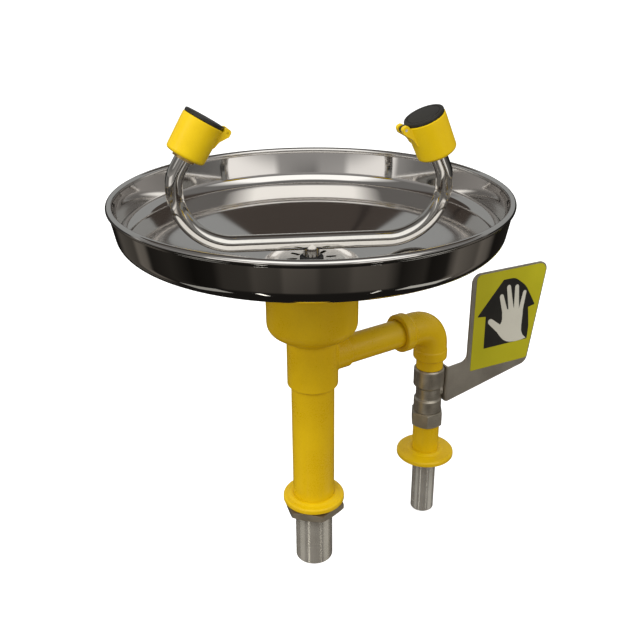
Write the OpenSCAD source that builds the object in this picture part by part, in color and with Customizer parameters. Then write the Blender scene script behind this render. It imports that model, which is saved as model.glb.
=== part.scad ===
// Deck-mounted eye and face wash: a round stainless bowl on a yellow drain
// stand, two spray heads with flip covers on a bent tube yoke, and a stay-open
// ball valve worked by a push flag.
// Units are millimetres, +Z is up.  The origin is the centre of the drain
// flange where it sits on the deck, and +X runs along the supply branch.

/* [Bowl] */
// Outer diameter over the rolled rim
bowl_d = 292; // [260:1:340]
// Height of the top of the rim above the deck
rim_z = 269; // [262:0.5:274]
// Thickness of the bowl sheet
bowl_t = 1.2; // [1:0.1:1.6]
// Diameter of the rolled bead
bead_d = 4.8; // [4:0.2:6]
// Depth of the upright wall and its corner below the rim
wall_depth = 32; // [26:0.5:38]
// Lean of the wall, how much narrower it is at the foot
wall_lean = 3; // [1:0.5:6]
// Outer radius between wall and floor
corner_r = 12; // [6:0.5:16]
// Fall of the floor towards the drain, in degrees
floor_slope = 13; // [10:0.25:15]
// Radius of the flat seat around the drain hole
seat_r = 36; // [34:0.5:40]

/* [Drain] */
// Outer diameter of the drain cup under the bowl
cup_d = 71.6; // [68:0.5:78]
// Height of the bottom edge of the straight part of the cup
cup_base_z = 164; // [158:0.5:170]
// Height at which the cup meets the body below it
body_top_z = 152; // [148:0.5:155]
// Outer diameter of the drain body
body_d = 41; // [40:0.5:46]
// Height of the lower end of the drain body
body_z = 111; // [100:0.5:113]
// Wall of the cup and body
cast_wall = 3; // [2.5:0.1:3.5]
// Outer diameter of the drain pipe
drain_pipe_d = 34.9; // [34:0.1:36]
// Outer diameter of the drain tailpiece
tailpiece_d = 31.75; // [30:0.05:32]
// Wall of the tailpiece
tailpiece_wall = 1.6; // [1.2:0.1:2.2]
// Length of both tailpieces below the deck
below_deck = 60; // [40:1:90]
// Outer diameter of the deck flanges
flange_d = 52; // [48:0.5:64]
// Thickness of the deck flanges
flange_t = 5; // [4:0.25:8]
// Across-flats size of the lock nut
lock_nut_af = 46; // [42:0.5:50]
// Height of the lock nut
lock_nut_h = 6.8; // [5:0.2:12]
// Slack left between the lock nut and the drain flange
lock_nut_gap = 2.4; // [2.4:0.1:40]
// Turn of the lock nut about its axis, in degrees
lock_nut_turn = 13; // [0:1:60]

/* [Strainer] */
// Diameter of the strainer plate
strainer_d = 56; // [52:0.5:64]
// Number of slots in the strainer
strainer_slots = 8; // [6:1:10]
// Width of each strainer slot
slot_w = 3.2; // [2:0.2:4]

/* [Yoke] */
// Outer diameter of the yoke and riser tube
tube_d = 12.7; // [12:0.1:13.5]
// Wall of the yoke and riser tube
tube_wall = 1.25; // [1:0.05:1.6]
// Height of the centre of the level bar
bar_z = 231; // [228:0.5:235]
// Distance from the centre to the upright part of each arm
arm_s = 98; // [90:0.5:110]
// Centreline radius of the lower bends
lower_bend_r = 41; // [30:0.5:46]
// Straight tube between the lower and the upper bends
arm_straight = 4; // [1:0.5:10]
// Centreline radius of the upper bends
upper_bend_r = 21; // [18:0.5:50]
// Turn of the yoke about the riser, from the supply branch
yoke_turn = -27.5; // [-60:0.5:0]
// Lean of the left spray head towards the centre
left_lean = 32; // [20:0.5:36]
// Lean of the right spray head towards the centre
right_lean = 24.5; // [20:0.5:36]
// Direction in which the heads lean, from the supply branch
lean_turn = -13.5; // [-30:0.5:10]

/* [Spray heads] */
// Diameter of the head at its face
head_d = 30.5; // [30:0.1:36]
// Diameter of the head at its base
head_base_d = 29.4; // [28:0.2:34]
// Length of the head body
head_h = 28.5; // [25:0.5:34]
// Bare tube between the end of the upper bend and the head
head_gap = 11; // [2:0.5:14]
// Thickness of the flip cover
cover_t = 2.6; // [2:0.1:3.5]
// Number of holes in the outer ring of the spray plate
spray_holes = 8; // [6:1:10]

/* [Supply] */
// Distance from the drain axis to the supply axis
supply_x = 123.3; // [115:0.1:140]
// Height of the centre of the branch pipe
branch_z = 132; // [129:0.5:134]
// Outer diameter of the branch pipe and the nipples
branch_d = 23.8; // [23:0.1:24.6]
// Outer diameter of the supply pipe thread
supply_d = 21.3; // [20.8:0.05:21.6]
// Bore of the supply pipe
supply_bore = 15.8; // [13:0.1:16.5]
// Height of the lower face of the elbow
elbow_z = 100; // [98:0.5:102]

/* [Valve and flag] */
// Turn of the valve about the supply axis, from the branch
valve_turn = -7; // [-20:1:20]
// Height of the lower end of the valve
valve_z0 = 33; // [31:0.5:35]
// Height of the upper end of the valve
valve_z1 = 90; // [88:0.5:92]
// Height of the valve stem
stem_z = 66; // [65:0.5:66.5]
// Diameter of the ball
ball_d = 16; // [15:0.1:16.4]
// Diameter of the port through the ball
port_d = 9.2; // [8:0.1:9.6]
// Thickness of the flag plate
flag_t = 1.8; // [1.2:0.1:2]
// Height of the top edge of the flag
flag_top_z = 173.5; // [150:0.5:190]
// Width of the flag along its top edge
flag_w = 82; // [70:0.5:100]

/* [Hidden] */
$fn = 72;

// Coats and metals
yellow = [0.93, 0.76, 0.05];
steel = [0.75, 0.76, 0.78];
dark_steel = [0.5, 0.5, 0.47];
brass = [0.8, 0.66, 0.35];
rubber = [0.12, 0.12, 0.12];
white = [0.92, 0.92, 0.9];

// Clearances: fixed fits, running fits and the gap between faces that close
fit = 0.05;
run = 0.06;
face_gap = 0.2;

// Bowl, worked out from the rim down
bowl_r = bowl_d / 2;
bead_r = bead_d / 2;
bead_z = rim_z - bead_r;
wall_top_r = bowl_r - bead_r + bowl_t / 2;
wall_foot_r = wall_top_r - wall_lean;
corner_x = wall_foot_r - corner_r;
corner_z = rim_z - wall_depth + corner_r;
floor_x = corner_x + corner_r * sin(floor_slope);
floor_z = corner_z - corner_r * cos(floor_slope);
seat_z = floor_z - (floor_x - seat_r) * tan(floor_slope);

// Strainer and the hole that it clamps
strainer_r = strainer_d / 2;
strainer_plate_t = 1.6;
strainer_neck_r = 22;
strainer_neck_wall = 1.6;
strainer_neck_h = 9;
bowl_hole_r = strainer_neck_r + 0.4;
gasket_t = 2;
slot_from = 11;
slot_to = 19;

// Drain cup, body and pipes
cup_r = cup_d / 2;
cup_top_z = seat_z - gasket_t;
body_r = body_d / 2;
cup_round = 9;
cup_lip_t = 5;
bore_r = 16;
pipe_r = drain_pipe_d / 2;
tailpiece_r = tailpiece_d / 2;
tailpiece_up = 25;
tailpiece_thread_r = tailpiece_r + 0.25;
pipe_lift = 0.3;

// Yoke
tube_r = tube_d / 2;
tube_in_r = tube_r - tube_wall;
tube_step = 0.02;
tube_lap = 0.2;
arm_z = bar_z + lower_bend_r;
half_bar = arm_s - lower_bend_r;
riser_port_r = 4.2;
tube_in_head = 9;

// Waterway inside the drain body, with the socket for the riser at its top
waterway_r = tube_r + 1.65;
waterway_bore_r = waterway_r - 2.5;
pipe_engage = branch_z - waterway_r - body_z;
waterway_top_z = body_top_z + 4;
waterway_end_x = body_r + 0.6;
branch_end_x = body_r + 1.2;
riser_base_z = waterway_top_z - 12;

// Heads, measured along their own axis from the base of the head
head_r = head_d / 2;
head_base_r = head_base_d / 2;
head_floor = 4;
head_round = 2;
adapter_r = tube_r + 2.05;
adapter_below = 2;
adapter_above = 1;
adapter_flange_r = adapter_r + 2.2;
adapter_flange_t = 2;
head_seal_t = 1;
orifice_r = 2.2;
chamber_r = adapter_flange_r + 0.4;
filter_r = chamber_r + 1.6;
filter_z = 13;
filter_t = 1.6;
face_r = filter_r + 1.4;
face_recess = 5;
spray_t = 2.4;
spray_hole_r = 1.1;
cover_r = head_r - 0.4;
cover_z = head_h + face_gap;
plug_r = face_r - 1.2;
plug_wall = 1.4;
plug_h = 1.4;
hinge_x = head_r + 2.6;
hinge_z = head_h + 0.8;
hinge_pin_r = 1;
knuckle_r = 2.1;
knuckle_w = 4.2;
lug_r = 2.6;
lug_w = 3.8;
lug_gap = 0.3;
lug_foot_z = head_h - 12;
lug_foot_x = head_r - 1.6;
hinge_w = knuckle_w + 2 * (lug_gap + lug_w);

// Supply side
branch_r = branch_d / 2;
supply_r = supply_d / 2;
supply_bore_r = supply_bore / 2;
boss_r = branch_r + 1.6;
boss_x = body_r + 10.5;
elbow_r = branch_r + 2.4;
elbow_bend = elbow_r + 4.7;
elbow_face_x = supply_x - elbow_bend - 19;
elbow_collar_r = elbow_r + 2.1;
elbow_collar_w = 9;
elbow_foot_r = elbow_r + 0.6;
elbow_foot_h = 8;
socket_depth = 13;
thread_up = 12;
shank_up_r = supply_r - 0.4;
nipple_thread_r = supply_r - 0.45;

// Valve
ball_r = ball_d / 2;
port_r = port_d / 2;
ball_room_r = ball_r + 0.5;
cap_r = ball_room_r + 1.7;
cap_top_z = stem_z - ball_r - 1.2;
seat_top_z = stem_z + ball_r + 1.2;
seat_ring_h = 5;
seat_in_cap = 2.2;
valve_collar_r = supply_r + 2.85;
valve_mid_r = cap_r + 0.7;
valve_low_r = cap_r + 2.2;
valve_hex_af = 2 * (supply_r + 2.5);
valve_hex_r = valve_hex_af / sqrt(3);
valve_low_z = 47;
valve_mid_z = 60;
valve_collar_z = 72.5;
stem_r = 3.6;
stem_neck_r = 3;
stem_end_r = 2.4;
stem_flat = 5;
stem_collar_r = 4.6;
stem_collar_t = 1;
stem_boss_r = 7.4;
stem_boss_x = ball_room_r + 2.9;
packing_r = 5.4;
packing_t = 1.5;
packing_nut_x = stem_boss_x + 2.1;
packing_nut_r = 4.9;
tang_w = 3;
tang_len = 3;
leg_x = max(packing_nut_x, valve_collar_r) + 0.4;
flag_y = -8;
nut_af = 8;
stem_end_x = leg_x + flag_t + 6.4;
washer_r = 4.6;
washer_t = 0.8;
nut_h = 3.6;

// Flag outline, in the plane of the flag, from the supply axis
flag_left = 35;
flag_right = flag_left + flag_w;
flag_foot_w = 68;
flag_foot_z = 75;
leg_foot_z = 54.5;
leg_top_z = 89;
leg_back_y = 8;
flag_round = 8;
flag_neck_round = 7;
decal_t = 0.25;
decal_margin = 6;

// Points of an arc of radius r about [x, y], from angle a to angle b
function arc(x, y, r, a, b, n = 12) =
  [for (i = [0:n]) [x + r * cos(a + (b - a) * i / n), y + r * sin(a + (b - a) * i / n)]];

// Corner k of polygon p rounded to radius r; r may differ from corner to corner
function unit(v) = v / norm(v);
function turn_of(a, b) = a.x * b.y - a.y * b.x;
function rounded(p, r, n = 8) = [
  for (k = [0:len(p) - 1])
    let (
      here = p[k],
      to_last = unit(p[(k + len(p) - 1) % len(p)] - here),
      to_next = unit(p[(k + 1) % len(p)] - here),
      half = acos(to_last * to_next) / 2,
      centre = here + unit(to_last + to_next) * r[k] / sin(half),
      first = here + to_last * r[k] / tan(half) - centre,
      sweep = (180 - 2 * half) * sign(turn_of(to_next, to_last)),
      start = atan2(first.y, first.x))
    for (i = [0:n])
      let (t = start + sweep * i / n)
      centre + r[k] * [cos(t), sin(t)]];

module ring(r_out, r_in, h, z = 0) {
  translate([0, 0, z]) difference() {
    cylinder(r = r_out, h = h);
    translate([0, 0, -1]) cylinder(r = r_in, h = h + 2);
  }
}

// Part of a torus in the XZ plane, about [x, z], from angle a to angle b
module bend(x, z, big_r, a, b, r) {
  translate([x, 0, z]) rotate([90, 0, 0]) rotate([0, 0, a])
    rotate_extrude(angle = b - a) translate([big_r, 0]) circle(r = r);
}

// Upper end of an arm: the frame whose Z is vertical and X is the way it leans
module at_arm(side) {
  rotate([0, 0, yoke_turn]) translate([side * arm_s, 0, arm_z + arm_straight])
    rotate([0, 0, (side > 0 ? 180 : 0) + lean_turn - yoke_turn]) children();
}

function lean(side) = side < 0 ? left_lean : right_lean;

// Frame of a spray head: Z along the head, X towards the low side and its hinge
module at_head(side) {
  at_arm(side)
    translate([upper_bend_r * (1 - cos(lean(side))), 0, upper_bend_r * sin(lean(side))])
      rotate([0, lean(side), 0]) translate([0, 0, head_gap]) children();
}

// Frame of the valve: Z along the supply pipe, X along the stem
module at_valve() {
  translate([supply_x, 0, 0]) rotate([0, 0, valve_turn]) children();
}

module bowl() {
  color(steel) rotate_extrude() {
    difference() {
      polygon(concat(
        [[bowl_hole_r, seat_z], [seat_r, seat_z]],
        arc(corner_x, corner_z, corner_r, floor_slope - 90, 0),
        [[wall_top_r, bead_z], [wall_top_r - bowl_t, bead_z]],
        arc(corner_x, corner_z, corner_r - bowl_t, 0, floor_slope - 90),
        [[seat_r, seat_z + bowl_t], [bowl_hole_r, seat_z + bowl_t]]));
      translate([bowl_r - bead_r, bead_z]) circle(r = bead_r - bowl_t / 2);
    }
    translate([bowl_r - bead_r, bead_z]) circle(r = bead_r);
  }
}

module bowl_gasket() {
  color(rubber) ring(cup_r - 1.5, strainer_neck_r + 0.6, gasket_t, seat_z - gasket_t);
}

module strainer() {
  color(steel) difference() {
    rotate_extrude() polygon([
      [tube_r + fit, seat_z + bowl_t], [strainer_r, seat_z + bowl_t],
      [strainer_r, seat_z + bowl_t + 0.6], [strainer_r - 3, seat_z + bowl_t + strainer_plate_t],
      [tube_r + fit, seat_z + bowl_t + strainer_plate_t]]);
    for (k = [0:strainer_slots - 1]) rotate([0, 0, (k + 0.5) * 360 / strainer_slots])
      translate([slot_from, -slot_w / 2, seat_z]) cube([slot_to - slot_from, slot_w, 6]);
  }
  color(steel) ring(strainer_neck_r, strainer_neck_r - strainer_neck_wall,
    strainer_neck_h + bowl_t, seat_z - strainer_neck_h);
}

module drain_body() {
  color(yellow) difference() {
    union() {
      rotate_extrude() polygon(concat(
        [[0, body_z]],
        arc(body_r - 2, body_z + 2, 2, -90, 0),
        [[body_r, body_top_z]],
        arc(cup_r - cup_round, cup_base_z, cup_round, -70, 0),
        [[cup_r, cup_top_z], [0, cup_top_z]]));
      translate([0, 0, branch_z]) rotate([0, 90, 0]) cylinder(r = boss_r, h = boss_x);
    }
    rotate_extrude() polygon(concat(
      [[0, body_z + pipe_engage], [bore_r, body_z + pipe_engage], [bore_r, body_top_z]],
      arc(cup_r - cup_round, cup_base_z, cup_round - cast_wall, -70, 0),
      [[cup_r - cast_wall, cup_top_z - cup_lip_t], [strainer_neck_r + fit, cup_top_z - cup_lip_t],
       [strainer_neck_r + fit, cup_top_z + 1], [0, cup_top_z + 1]]));
    translate([0, 0, body_z - 1]) cylinder(r = pipe_r + fit, h = pipe_engage + 1);
    translate([0, 0, branch_z]) rotate([0, 90, 0]) cylinder(r = waterway_r + fit, h = boss_x);
    translate([branch_end_x - 0.2, 0, branch_z]) rotate([0, 90, 0])
      cylinder(r = branch_r + fit, h = boss_x);
  }
}

module drain_pipe() {
  color(yellow)
    ring(pipe_r, tailpiece_thread_r + fit, body_z + pipe_engage - 0.1 - pipe_lift, pipe_lift);
}

module drain_tailpiece() {
  thread_z = -lock_nut_gap - lock_nut_h - 1;
  color(dark_steel) {
    ring(tailpiece_r, tailpiece_r - tailpiece_wall, below_deck + thread_z, -below_deck);
    ring(tailpiece_thread_r, tailpiece_r - tailpiece_wall, tailpiece_up - thread_z, thread_z);
  }
}

// Domed deck flange with a flat underside, around a pipe of radius r
module deck_flange(r) {
  color(yellow) rotate_extrude() polygon(concat(
    [[r + fit, 0], [flange_d / 2 - 0.6, 0], [flange_d / 2, 0.6], [flange_d / 2, flange_t - 2.2]],
    arc(flange_d / 2 - 2, flange_t - 2.2, 2, 0, 75, 6),
    [[r + 3.5, flange_t]],
    arc(r + 3.5, flange_t + 1.6, 1.6, -90, -180, 6),
    [[r + fit, flange_t + 1.6]]));
}

module drain_flange() { deck_flange(pipe_r); }

module deck_lock_nut() {
  color(dark_steel) rotate([0, 0, lock_nut_turn]) translate([0, 0, -lock_nut_gap - lock_nut_h])
    difference() {
      intersection() {
        cylinder(r = lock_nut_af / sqrt(3), h = lock_nut_h, $fn = 6);
        rotate_extrude() polygon([
          [0, 0], [lock_nut_af / 2, 0], [lock_nut_af / sqrt(3) + 0.2, 1.4],
          [lock_nut_af / sqrt(3) + 0.2, lock_nut_h - 1.4], [lock_nut_af / 2, lock_nut_h],
          [0, lock_nut_h]]);
      }
      translate([0, 0, -1]) cylinder(r = tailpiece_thread_r + fit, h = lock_nut_h + 2);
    }
}

module inlet_elbow() {
  color(brass) difference() {
    union() {
      translate([0, 0, branch_z]) rotate([0, 90, 0]) cylinder(r = waterway_r, h = waterway_end_x);
      translate([0, 0, branch_z]) sphere(r = waterway_r);
      translate([0, 0, branch_z]) cylinder(r = waterway_r, h = waterway_top_z - branch_z);
    }
    translate([0, 0, branch_z]) rotate([0, 90, 0])
      cylinder(r = waterway_bore_r, h = waterway_end_x + 1);
    translate([0, 0, branch_z]) cylinder(r = waterway_bore_r, h = waterway_top_z);
    translate([0, 0, riser_base_z - 0.1]) cylinder(r = tube_r + fit, h = waterway_top_z);
  }
}

module riser() {
  color(steel) difference() {
    ring(tube_r, tube_in_r, bar_z - riser_base_z, riser_base_z);
    rotate([0, 0, yoke_turn]) translate([-tube_d, 0, bar_z]) rotate([0, 90, 0])
      cylinder(r = tube_r + fit, h = 2 * tube_d);
  }
}

module riser_seal() {
  color(rubber) ring(tube_r + 2.6, tube_r + fit, 1.6, seat_z + bowl_t + strainer_plate_t + 0.02);
}

// Solid rod along the whole yoke, of radius r, with its ends run on by extra.
// The straight stretches lap over the ends of the bends and are a hair larger.
module yoke_path(r, extra = 0) {
  straight_r = r + tube_step;
  rotate([0, 0, yoke_turn]) {
    translate([-half_bar - tube_lap, 0, bar_z]) rotate([0, 90, 0])
      cylinder(r = straight_r, h = 2 * (half_bar + tube_lap));
    bend(half_bar, arm_z, lower_bend_r, -90, 0, r);
    bend(-half_bar, arm_z, lower_bend_r, 180, 270, r);
    for (side = [-1, 1]) translate([side * arm_s, 0, arm_z - tube_lap])
      cylinder(r = straight_r, h = arm_straight + 2 * tube_lap);
  }
  for (side = [-1, 1]) {
    at_arm(side) bend(upper_bend_r, 0, upper_bend_r, 180 - lean(side), 180, r);
    at_head(side) translate([0, 0, -head_gap - tube_lap])
      cylinder(r = straight_r, h = head_gap + tube_in_head + tube_lap + extra);
  }
}

module yoke_tube() {
  color(steel) difference() {
    yoke_path(tube_r);
    yoke_path(tube_in_r, 1);
    translate([0, 0, bar_z - tube_d]) cylinder(r = riser_port_r, h = tube_d);
  }
}

// Threaded sleeve on the end of the yoke tube, with a flange inside the head
module head_adapter(side) {
  color(brass) at_head(side) {
    ring(adapter_r, tube_r + fit, adapter_below + tube_in_head + adapter_above, -adapter_below);
    ring(adapter_flange_r, tube_r + fit, adapter_flange_t, head_floor + head_seal_t + fit);
  }
}
module left_head_adapter() { head_adapter(-1); }
module right_head_adapter() { head_adapter(1); }

module head_seal(side) {
  color(rubber) at_head(side) ring(adapter_flange_r, adapter_r + fit, head_seal_t, head_floor + 0.02);
}
module left_head_seal() { head_seal(-1); }
module right_head_seal() { head_seal(1); }

// Orifice disc that sets the flow, held in the top of the adapter
module flow_control(side) {
  color(white) at_head(side) difference() {
    translate([0, 0, tube_in_head]) union() {
      translate([0, 0, 0.1]) cylinder(r = tube_r, h = adapter_above);
      translate([0, 0, adapter_above]) cylinder(r = adapter_r, h = 1.2);
    }
    translate([0, 0, tube_in_head - 1]) cylinder(r = orifice_r, h = adapter_above + 4);
  }
}
module left_flow_control() { flow_control(-1); }
module right_flow_control() { flow_control(1); }

module hinge_lug(y) {
  translate([0, y, 0]) rotate([90, 0, 0]) linear_extrude(height = lug_w, center = true)
    difference() {
      union() {
        translate([hinge_x, hinge_z]) circle(r = lug_r);
        polygon([
          [lug_foot_x, lug_foot_z], [lug_foot_x + 1.4, lug_foot_z + 2.5],
          [hinge_x + lug_r * 0.76, hinge_z - lug_r * 0.65],
          [hinge_x, hinge_z + lug_r * 0.4], [lug_foot_x, head_h - 0.5]]);
      }
      translate([hinge_x, hinge_z]) circle(r = hinge_pin_r + fit);
    }
}

module head_body(side) {
  color(yellow) at_head(side) {
    difference() {
      union() {
        rotate_extrude() polygon(concat(
          [[0, 0]],
          arc(head_base_r - head_round, head_round, head_round, -90, -4, 8),
          [[head_r, head_h - 4], [head_r, head_h - 0.5], [head_r - 0.5, head_h], [0, head_h]]));
        for (y = [-1, 1]) hinge_lug(y * (knuckle_w / 2 + lug_gap + lug_w / 2));
      }
      translate([0, 0, -1]) cylinder(r = adapter_r + fit, h = head_floor + 2);
      translate([0, 0, head_floor]) cylinder(r = chamber_r, h = head_h);
      translate([0, 0, filter_z]) cylinder(r = filter_r, h = head_h);
      translate([0, 0, head_h - face_recess]) cylinder(r = face_r, h = face_recess + 1);
    }
  }
}
module left_head_body() { head_body(-1); }
module right_head_body() { head_body(1); }

module filter_disc(side) {
  color(dark_steel) at_head(side) difference() {
    translate([0, 0, filter_z + 0.02]) cylinder(r = filter_r - fit, h = filter_t);
    for (ring_r = [4, 8]) for (k = [0:ring_r - 1]) rotate([0, 0, k * 360 / ring_r])
      translate([ring_r, 0, filter_z - 1]) cylinder(r = 1, h = filter_t + 2, $fn = 24);
  }
}
module left_filter_disc() { filter_disc(-1); }
module right_filter_disc() { filter_disc(1); }

module spray_plate(side) {
  color(yellow) at_head(side) difference() {
    translate([0, 0, head_h - face_recess + 0.02]) cylinder(r = face_r - fit, h = spray_t);
    translate([0, 0, head_h - face_recess - 1]) {
      cylinder(r = spray_hole_r, h = spray_t + 2, $fn = 24);
      for (k = [0:spray_holes - 1]) rotate([0, 0, k * 360 / spray_holes])
        translate([9.5, 0, 0]) cylinder(r = spray_hole_r, h = spray_t + 2, $fn = 24);
      for (k = [0:spray_holes / 2 - 1]) rotate([0, 0, (k + 0.5) * 720 / spray_holes])
        translate([5, 0, 0]) cylinder(r = spray_hole_r, h = spray_t + 2, $fn = 24);
    }
  }
}
module left_spray_plate() { spray_plate(-1); }
module right_spray_plate() { spray_plate(1); }

module hinge_pin(side) {
  color(steel) at_head(side) translate([hinge_x, hinge_w / 2, hinge_z]) rotate([90, 0, 0])
    cylinder(r = hinge_pin_r, h = hinge_w, $fn = 32);
}
module left_hinge_pin() { hinge_pin(-1); }
module right_hinge_pin() { hinge_pin(1); }

module cover(side) {
  color(rubber) at_head(side) difference() {
    union() {
      translate([0, 0, cover_z]) rotate_extrude() polygon([
        [0, 0], [cover_r - 0.3, 0], [cover_r, 0.4], [cover_r, cover_t - 0.8],
        [cover_r - 0.8, cover_t], [cover_r - 2.4, cover_t], [cover_r - 2.7, cover_t - 0.5],
        [cover_r - 3, cover_t], [0, cover_t + 0.2]]);
      ring(plug_r, plug_r - plug_wall, plug_h + 0.2, cover_z - plug_h);
      translate([hinge_x, knuckle_w / 2, hinge_z]) rotate([90, 0, 0])
        cylinder(r = knuckle_r, h = knuckle_w, $fn = 48);
      translate([cover_r - 3, -knuckle_w / 2, cover_z])
        cube([hinge_x - cover_r + 3, knuckle_w, hinge_z + knuckle_r - cover_z]);
    }
    translate([hinge_x, hinge_w, hinge_z]) rotate([90, 0, 0])
      cylinder(r = hinge_pin_r + run, h = 2 * hinge_w, $fn = 32);
  }
}
module left_cover() { cover(-1); }
module right_cover() { cover(1); }

module branch_pipe() {
  color(yellow) translate([branch_end_x, 0, branch_z]) rotate([0, 90, 0])
    ring(branch_r, supply_bore_r, elbow_face_x + socket_depth - branch_end_x);
}

module supply_elbow() {
  turn_x = supply_x - elbow_bend;
  turn_z = branch_z - elbow_bend;
  color(yellow) difference() {
    union() {
      translate([elbow_face_x, 0, branch_z]) rotate([0, 90, 0])
        cylinder(r = elbow_r, h = turn_x - elbow_face_x);
      translate([elbow_face_x, 0, branch_z]) rotate([0, 90, 0]) rotate_extrude() polygon(concat(
        [[0, 0], [elbow_collar_r - 1, 0], [elbow_collar_r, 1],
         [elbow_collar_r, elbow_collar_w - 2], [elbow_r, elbow_collar_w + 1], [0, elbow_collar_w + 1]]));
      bend(turn_x, turn_z, elbow_bend, 0, 90, elbow_r);
      translate([supply_x, 0, elbow_z]) cylinder(r = elbow_r, h = turn_z - elbow_z);
      translate([supply_x, 0, elbow_z]) rotate_extrude() polygon([
        [0, 0], [elbow_foot_r - 1, 0], [elbow_foot_r, 1],
        [elbow_foot_r, elbow_foot_h - 1], [elbow_r, elbow_foot_h], [0, elbow_foot_h]]);
    }
    bend(turn_x, turn_z, elbow_bend, 0, 90, supply_bore_r);
    translate([elbow_face_x - 1, 0, branch_z]) rotate([0, 90, 0])
      cylinder(r = supply_bore_r, h = turn_x - elbow_face_x + 1);
    translate([supply_x, 0, elbow_z - 1]) cylinder(r = supply_bore_r, h = turn_z - elbow_z + 1);
    translate([elbow_face_x - 1, 0, branch_z]) rotate([0, 90, 0])
      cylinder(r = branch_r + fit, h = socket_depth + 1.1);
    translate([supply_x, 0, elbow_z - 1]) cylinder(r = nipple_thread_r + fit, h = thread_up + 1.1);
  }
}

module upper_nipple() {
  color(yellow) translate([supply_x, 0, 0]) {
    ring(branch_r, supply_bore_r, elbow_z - valve_z1 - 0.2, valve_z1 + 0.1);
    ring(nipple_thread_r, supply_bore_r, elbow_z - valve_z1 + 2 * thread_up, valve_z1 - thread_up);
  }
}

module valve_body() {
  color(dark_steel) at_valve() difference() {
    union() {
      translate([0, 0, valve_low_z + 0.1]) rotate_extrude() polygon([
        [0, 0], [valve_low_r - 0.5, 0], [valve_low_r, 0.5],
        [valve_low_r, valve_mid_z - valve_low_z - 1.2],
        [valve_low_r - 0.9, valve_mid_z - valve_low_z - 0.1],
        [valve_mid_r, valve_mid_z - valve_low_z + 0.4],
        [valve_mid_r, valve_collar_z - valve_low_z - 1.6],
        [valve_collar_r - 0.6, valve_collar_z - valve_low_z],
        [valve_collar_r, valve_collar_z - valve_low_z + 0.8],
        [valve_collar_r, valve_z1 - valve_low_z - 1.2],
        [valve_collar_r - 1, valve_z1 - valve_low_z - 0.1], [0, valve_z1 - valve_low_z - 0.1]]);
      translate([0, 0, stem_z]) rotate([0, 90, 0]) cylinder(r = stem_boss_r, h = stem_boss_x);
    }
    translate([0, 0, valve_low_z - 1])
      cylinder(r = cap_r + fit, h = cap_top_z - valve_low_z + 1.1);
    translate([0, 0, valve_low_z]) cylinder(r = ball_room_r, h = seat_top_z - valve_low_z);
    cylinder(r = port_r, h = valve_z1);
    translate([0, 0, valve_z1 - thread_up - 0.1])
      cylinder(r = nipple_thread_r + fit, h = thread_up + 1);
    translate([0, 0, stem_z]) rotate([0, 90, 0]) {
      cylinder(r = stem_r + run, h = stem_boss_x + 1);
      cylinder(r = stem_collar_r + run, h = ball_room_r + stem_collar_t + 2 * fit);
      translate([0, 0, stem_boss_x - packing_t - 2 * fit]) cylinder(r = packing_r + fit, h = 3);
    }
  }
}

module valve_end_cap() {
  color(dark_steel) at_valve() difference() {
    union() {
      translate([0, 0, valve_z0]) intersection() {
        cylinder(r = valve_hex_r, h = valve_low_z - valve_z0, $fn = 6);
        rotate_extrude() polygon([
          [0, 0], [valve_hex_af / 2, 0], [valve_hex_r + 0.1, 1.2],
          [valve_hex_r + 0.1, valve_low_z - valve_z0 - 1.2],
          [valve_hex_af / 2, valve_low_z - valve_z0], [0, valve_low_z - valve_z0]]);
      }
      translate([0, 0, valve_low_z - 1]) cylinder(r = cap_r, h = cap_top_z - valve_low_z + 1);
    }
    cylinder(r = port_r, h = valve_z1);
    translate([0, 0, valve_z0 - 1]) cylinder(r = shank_up_r + fit, h = thread_up + 1.1);
    translate([0, 0, cap_top_z - seat_in_cap]) cylinder(r = ball_room_r, h = 4);
  }
}

module valve_seats() {
  color(white) at_valve() difference() {
    union() {
      ring(ball_room_r - fit, port_r, seat_ring_h, seat_top_z - seat_ring_h - fit);
      ring(ball_room_r - fit, port_r, seat_ring_h, cap_top_z - seat_in_cap + fit);
    }
    translate([0, 0, stem_z]) sphere(r = ball_r + run);
  }
}

module valve_ball() {
  color(steel) at_valve() difference() {
    translate([0, 0, stem_z]) rotate([90, 0, 0]) rotate([0, 0, 90]) sphere(r = ball_r);
    translate([0, ball_d, stem_z]) rotate([90, 0, 0]) cylinder(r = port_r, h = 2 * ball_d);
    translate([ball_r - tang_len + 0.8, -tang_w / 2 - fit, stem_z - ball_r])
      cube([ball_r, tang_w + 2 * fit, ball_d]);
  }
}

module valve_stem() {
  color(steel) at_valve() translate([0, 0, stem_z]) {
    translate([ball_r - tang_len + 1, -tang_w / 2, -stem_r]) cube([tang_len, tang_w, 2 * stem_r]);
    rotate([0, 90, 0]) {
      translate([0, 0, ball_room_r + fit]) {
        cylinder(r = stem_collar_r, h = stem_collar_t);
        cylinder(r = stem_r, h = leg_x - 0.1 - ball_room_r - fit);
      }
      translate([0, 0, ball_room_r + 1]) cylinder(r = stem_end_r, h = stem_end_x - ball_room_r - 1);
      intersection() {
        translate([0, 0, ball_r + 1]) cylinder(r = stem_neck_r, h = leg_x + flag_t - ball_r - 1);
        translate([-stem_flat / 2, -stem_r, 0]) cube([stem_flat, 2 * stem_r, stem_end_x]);
      }
    }
  }
}

module stem_packing() {
  color(white) at_valve() translate([stem_boss_x - packing_t - fit, 0, stem_z]) rotate([0, 90, 0])
    ring(packing_r, stem_r + run, packing_t);
}

module packing_nut() {
  color(dark_steel) at_valve() translate([stem_boss_x + 0.02, 0, stem_z]) rotate([0, 90, 0])
    difference() {
      cylinder(r = packing_nut_r, h = packing_nut_x - stem_boss_x - 0.02, $fn = 6);
      translate([0, 0, -1]) cylinder(r = stem_r + run, h = 5);
    }
}

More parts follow.
